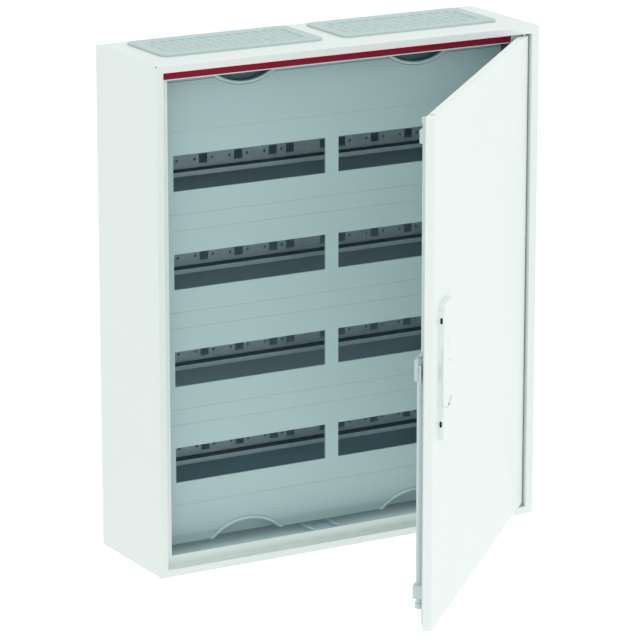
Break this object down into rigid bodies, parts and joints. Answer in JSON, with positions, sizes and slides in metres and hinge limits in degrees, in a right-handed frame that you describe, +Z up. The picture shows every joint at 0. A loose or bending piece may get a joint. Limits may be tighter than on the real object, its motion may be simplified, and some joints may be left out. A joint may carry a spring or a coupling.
{
  "type": "switchboard cabinet",
  "caption": "Wall-mounted sheet-steel switchboard cabinet with swing door, rod lock, cable flanges, rails and slotted touch cover.",
  "frame": {"origin": "centre of the wall fixing holes on the rear face", "axes": "+X right seen from the front, +Y into the wall, +Z up"},
  "size_m": [0.55, 0.5268, 0.656],
  "materials": {
    "white_sheet": "fine textured white powder coat, semi-matt",
    "white_door": "smooth white powder coat, semi-matt",
    "red_trim": "deep red extruded trim",
    "flange_plastic": "light grey moulded plastic, fine grain",
    "membrane_rubber": "light grey soft membrane with moulded entry domes",
    "rail_zinc": "rolled zinc-plated steel",
    "carrier_zinc": "zinc-plated steel",
    "seal_foam": "soft foam seal",
    "cover_grey": "blue-grey moulded plastic, fine grain",
    "support_grey": "grey moulded plastic",
    "handle_white": "white moulded plastic",
    "terminal_brass": "plain brass",
    "holder_plastic": "dark grey plastic",
    "bush_plastic": "natural plastic",
    "lock_plastic": "light grey plastic",
    "lock_steel": "zinc-plated steel",
    "fastener_steel": "zinc-plated steel"
  },
  "bodies": {
    "cabinet": {"back_panel": "white_sheet", "bottom_flange_left": "flange_plastic", "bottom_flange_right": "flange_plastic", "bottom_membrane_left": "membrane_rubber", "bottom_membrane_right": "membrane_rubber", "bottom_wall": "white_sheet", "cover_bar_left": "support_grey", "cover_bar_right": "support_grey", "cover_bridge_1": "cover_grey", "cover_bridge_2": "cover_grey", "cover_bridge_3": "cover_grey", "cover_pillars": "support_grey", "din_rail_1": "rail_zinc", "din_rail_2": "rail_zinc", "din_rail_3": "rail_zinc", "din_rail_4": "rail_zinc", "earth_bar": "terminal_brass", "earth_holder": "holder_plastic", "earth_screws": "fastener_steel", "earth_stud": "fastener_steel", "left_rail_carrier": "carrier_zinc", "left_wall": "white_sheet", "lower_end_cover": "cover_grey", "lower_hinge_bush": "bush_plastic", "neutral_bar": "terminal_brass", "neutral_holder": "holder_plastic", "neutral_screws": "fastener_steel", "rail_screws": "fastener_steel", "right_rail_carrier": "carrier_zinc", "right_wall": "white_sheet", "row_cover_1": "cover_grey", "row_cover_2": "cover_grey", "row_cover_3": "cover_grey", "row_cover_4": "cover_grey", "top_flange_left": "flange_plastic", "top_flange_right": "flange_plastic", "top_membrane_left": "membrane_rubber", "top_membrane_right": "membrane_rubber", "top_wall": "white_sheet", "trim_strip": "red_trim", "upper_end_cover": "cover_grey", "upper_hinge_bush": "bush_plastic"},
    "door": {"door_panel": "white_door", "door_seal": "seal_foam", "upper_hinge_block": "lock_steel", "lower_hinge_block": "lock_steel", "upper_hinge_pin": "fastener_steel", "lower_hinge_pin": "fastener_steel", "handle_plate": "handle_white", "handle_screws": "fastener_steel", "lock_case": "lock_plastic", "upper_rod_guide": "lock_plastic", "lower_rod_guide": "lock_plastic"},
    "handle": {"handle_lever": "handle_white", "spindle": "lock_steel", "lock_hub": "lock_plastic"},
    "upper_rod": {"upper_lock_rod": "lock_steel"},
    "lower_rod": {"lower_lock_rod": "lock_steel"},
    "bolt": {"side_bolt": "lock_steel"}
  },
  "joints": [
    {"name": "door_hinge", "type": "hinge", "parent": "cabinet", "child": "door", "pos_m": [0.2543, -0.1555, 0], "axis": [0, 0, 1], "range_deg": [-45.5, 74.5]},
    {"name": "handle_turn", "type": "hinge", "parent": "door", "child": "handle", "pos_m": [-0.06827, -0.49017, 0], "axis": [0.7133, -0.7009, 0], "range_deg": [0, 90]},
    {"name": "upper_rod_slide", "type": "slide", "parent": "door", "child": "upper_rod", "axis": [0, 0, 1], "range_m": [0, 0.0158]},
    {"name": "lower_rod_slide", "type": "slide", "parent": "door", "child": "lower_rod", "axis": [0, 0, -1], "range_m": [0, 0.0158]},
    {"name": "bolt_slide", "type": "slide", "parent": "door", "child": "bolt", "axis": [-0.7009, -0.7133, 0], "range_m": [0, 0.0158]}
  ],
  "couplings": [
    {"joint": "upper_rod_slide", "follows": "handle_turn", "m_per_rad": 0.01},
    {"joint": "lower_rod_slide", "follows": "handle_turn", "m_per_rad": 0.01},
    {"joint": "bolt_slide", "follows": "handle_turn", "m_per_rad": 0.01}
  ]
}
